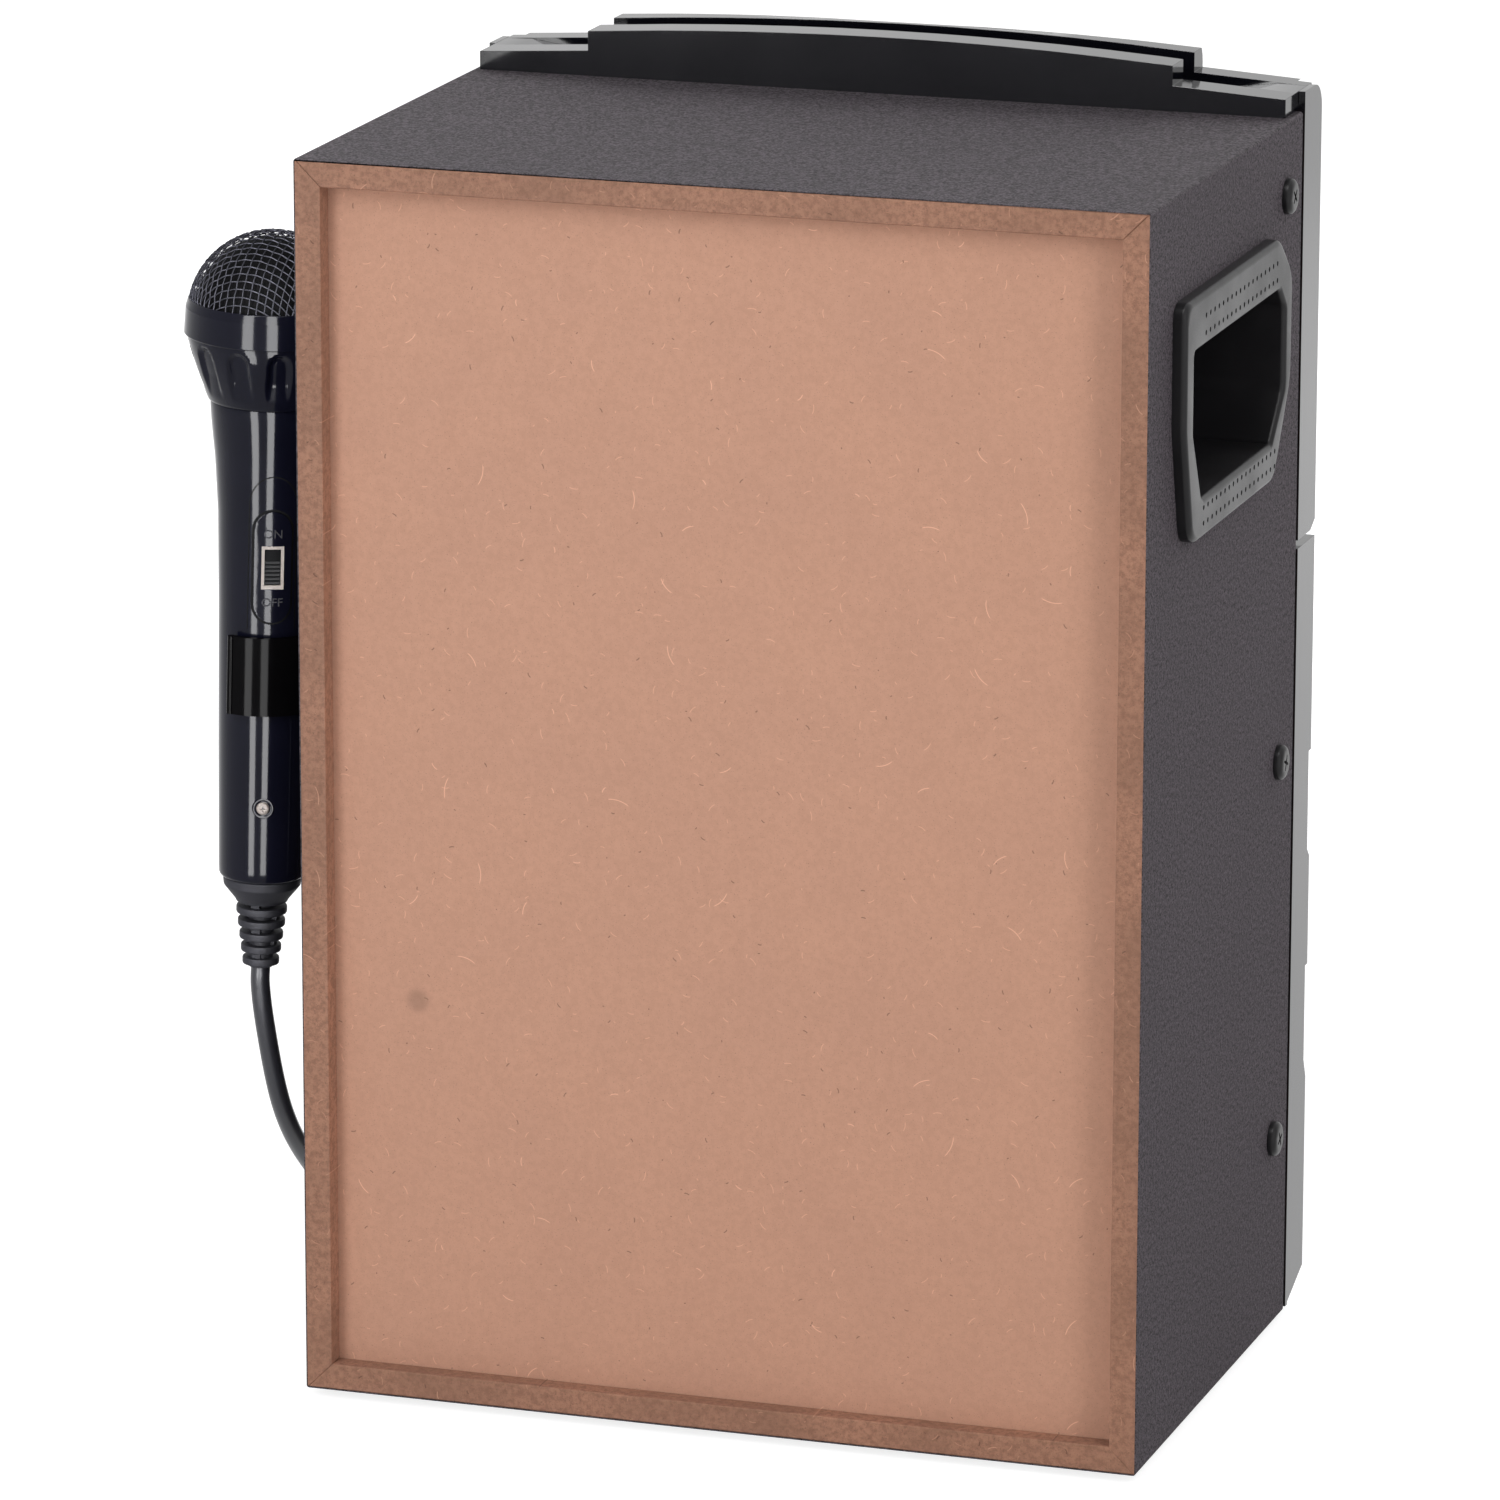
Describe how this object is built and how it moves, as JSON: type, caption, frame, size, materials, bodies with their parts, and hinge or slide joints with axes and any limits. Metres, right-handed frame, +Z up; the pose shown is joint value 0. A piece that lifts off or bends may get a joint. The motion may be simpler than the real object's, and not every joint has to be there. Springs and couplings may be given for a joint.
{
  "type": "karaoke machine with disc tray",
  "caption": "Upright karaoke machine: wrapped wood box with grip cups and tablet cradle, glossy front with disc tray and speakers, and a corded microphone in a side clip.",
  "frame": {"origin": "middle of the underside of the wooden box, which stands 3 mm above the floor on rubber feet", "axes": "+Z up, -Y towards the moulded front with the disc tray, +X to the right as seen from the front, where the microphone hangs"},
  "size_m": [0.3733, 0.3479, 0.458],
  "materials": {
    "raw_fibreboard": "matte, raw sawn edge",
    "panel_fibreboard": "matte, fine fibres",
    "grained_wrap": "fine grain, satin",
    "rubber_black": "matte",
    "cup_plastic": "satin",
    "screw_black": "satin black",
    "gloss_black": "high gloss",
    "lens_black": "high gloss lens",
    "display": "satin",
    "grille_steel": "satin black",
    "light_guide": "frosted",
    "speaker_steel": "satin",
    "surround_rubber": "matte",
    "cone_paper": "matte paper",
    "sheet_steel": "zinc plated",
    "mech_black": "satin",
    "gear_white": "satin",
    "belt_rubber": "matte",
    "rod_steel": "polished",
    "silver_plastic": "satin silver",
    "power_red": "gloss",
    "circuit_green": "solder mask",
    "socket_black": "satin",
    "mic_plastic": "gloss",
    "mic_mesh": "satin wire mesh",
    "mic_silver": "polished",
    "cord_rubber": "satin"
  },
  "bodies": {
    "cabinet": {"side_panel_left": "raw_fibreboard", "side_panel_right": "raw_fibreboard", "top_panel": "raw_fibreboard", "bottom_panel": "raw_fibreboard", "vinyl_wrap": "grained_wrap", "back_panel": "panel_fibreboard", "rubber_feet": "rubber_black", "grip_cup_left": "cup_plastic", "grip_cup_right": "cup_plastic", "fascia_screws": "screw_black", "upper_fascia": "gloss_black", "lower_fascia": "gloss_black", "tablet_cradle": "gloss_black", "screen_lens": "lens_black", "lcd_module": "display", "speaker_grilles": "grille_steel", "light_rings": "light_guide", "speaker_frames": "speaker_steel", "speaker_surrounds": "surround_rubber", "loader_bracket": "sheet_steel", "loader_chassis": "mech_black", "loader_motor": "sheet_steel", "drive_belt": "belt_rubber", "clamp_bridge": "sheet_steel", "potentiometers": "speaker_steel", "control_board": "circuit_green", "socket_board": "socket_black", "main_board": "circuit_green", "mic_clip": "gloss_black"},
    "tray": {"disc_tray": "mech_black", "tray_front": "gloss_black"},
    "tray_gear": {"tray_gear": "gear_white"},
    "motor_pulley": {"motor_pulley": "gear_white"},
    "traverse": {"traverse_frame": "mech_black", "traverse_motors": "sheet_steel", "guide_rods": "rod_steel"},
    "turntable": {"turntable": "mech_black"},
    "pickup": {"pickup_sled": "mech_black"},
    "lead_screw": {"lead_screw": "rod_steel"},
    "clamp_puck": {"clamp_puck": "gear_white"},
    "knob_mic": {"knob_mic": "silver_plastic"},
    "knob_echo": {"knob_echo": "silver_plastic"},
    "knob_music": {"knob_music": "silver_plastic"},
    "previous_button": {"previous_button": "silver_plastic"},
    "play_button": {"play_button": "silver_plastic"},
    "next_button": {"next_button": "silver_plastic"},
    "eject_button": {"eject_button": "silver_plastic"},
    "power_button": {"power_button": "power_red"},
    "speaker_cone_left": {"speaker_cone_left": "cone_paper"},
    "speaker_cone_right": {"speaker_cone_right": "cone_paper"},
    "microphone": {"mic_handle": "mic_plastic", "mic_collar": "mic_plastic", "mic_grille": "mic_mesh", "mic_capsule": "mech_black", "mic_switch_plate": "mic_silver", "mic_relief": "mic_plastic", "mic_cord": "cord_rubber", "mic_cord_coil": "cord_rubber", "mic_plug": "mic_silver"},
    "mic_switch": {"mic_switch": "socket_black"}
  },
  "joints": [
    {"name": "tray_slide", "type": "slide", "parent": "cabinet", "child": "tray", "axis": [0, -1, 0], "range_m": [0, 0.13]},
    {"name": "tray_gear_spin", "type": "hinge", "parent": "cabinet", "child": "tray_gear", "pos_m": [-0.044, -0.095, 0.262], "axis": [0, 0, 1], "range_deg": [0, 622]},
    {"name": "motor_pulley_spin", "type": "hinge", "parent": "cabinet", "child": "motor_pulley", "pos_m": [-0.008, -0.092, 0.262], "axis": [0, 0, 1], "range_deg": [0, 2640]},
    {"name": "traverse_tilt", "type": "hinge", "parent": "cabinet", "child": "traverse", "pos_m": [0, 0.0535, 0.252], "axis": [1, 0, 0], "range_deg": [0, 3.5]},
    {"name": "turntable_spin", "type": "hinge", "parent": "traverse", "child": "turntable", "pos_m": [0, -0.0505, 0.262], "axis": [0, 0, 1], "continuous": true},
    {"name": "pickup_slide", "type": "slide", "parent": "traverse", "child": "pickup", "axis": [0, 1, 0], "range_m": [0, 0.033]},
    {"name": "lead_screw_spin", "type": "hinge", "parent": "traverse", "child": "lead_screw", "pos_m": [0.029, -0.0385, 0.2555], "axis": [0, 1, 0], "range_deg": [0, 3962]},
    {"name": "clamp_puck_spin", "type": "hinge", "parent": "cabinet", "child": "clamp_puck", "pos_m": [0, -0.0505, 0.262], "axis": [0, 0, 1], "continuous": true},
    {"name": "knob_mic_turn", "type": "hinge", "parent": "cabinet", "child": "knob_mic", "pos_m": [-0.09, -0.122, 0.142], "axis": [0, 1, 0], "range_deg": [-140, 140]},
    {"name": "knob_echo_turn", "type": "hinge", "parent": "cabinet", "child": "knob_echo", "pos_m": [0, -0.122, 0.142], "axis": [0, 1, 0], "range_deg": [-140, 140]},
    {"name": "knob_music_turn", "type": "hinge", "parent": "cabinet", "child": "knob_music", "pos_m": [0.09, -0.122, 0.142], "axis": [0, 1, 0], "range_deg": [-140, 140]},
    {"name": "previous_button_press", "type": "slide", "parent": "cabinet", "child": "previous_button", "axis": [0, 1, 0], "range_m": [0, 0.001], "stiffness_N_per_m": 1200},
    {"name": "play_button_press", "type": "slide", "parent": "cabinet", "child": "play_button", "axis": [0, 1, 0], "range_m": [0, 0.001], "stiffness_N_per_m": 1200},
    {"name": "next_button_press", "type": "slide", "parent": "cabinet", "child": "next_button", "axis": [0, 1, 0], "range_m": [0, 0.001], "stiffness_N_per_m": 1200},
    {"name": "eject_button_press", "type": "slide", "parent": "cabinet", "child": "eject_button", "axis": [0, 1, 0], "range_m": [0, 0.001], "stiffness_N_per_m": 1200},
    {"name": "power_button_press", "type": "slide", "parent": "cabinet", "child": "power_button", "axis": [0, 1, 0], "range_m": [0, 0.001], "stiffness_N_per_m": 1200},
    {"name": "speaker_cone_left_stroke", "type": "slide", "parent": "cabinet", "child": "speaker_cone_left", "axis": [0, 1, 0], "range_m": [-0.0015, 0.0015], "stiffness_N_per_m": 2500},
    {"name": "speaker_cone_right_stroke", "type": "slide", "parent": "cabinet", "child": "speaker_cone_right", "axis": [0, 1, 0], "range_m": [-0.0015, 0.0015], "stiffness_N_per_m": 2500},
    {"name": "microphone_pull", "type": "slide", "parent": "cabinet", "child": "microphone", "axis": [1, 0, 0], "range_m": [0, 0.08]},
    {"name": "mic_switch_slide", "type": "slide", "parent": "microphone", "child": "mic_switch", "axis": [-0.0314, 0, 0.9995], "range_m": [0, 0.004]}
  ],
  "couplings": [
    {"joint": "tray_gear_spin", "follows": "tray_slide", "rad_per_m": 83.333},
    {"joint": "motor_pulley_spin", "follows": "tray_slide", "rad_per_m": 352.94},
    {"joint": "lead_screw_spin", "follows": "pickup_slide", "rad_per_m": 2094.4}
  ]
}
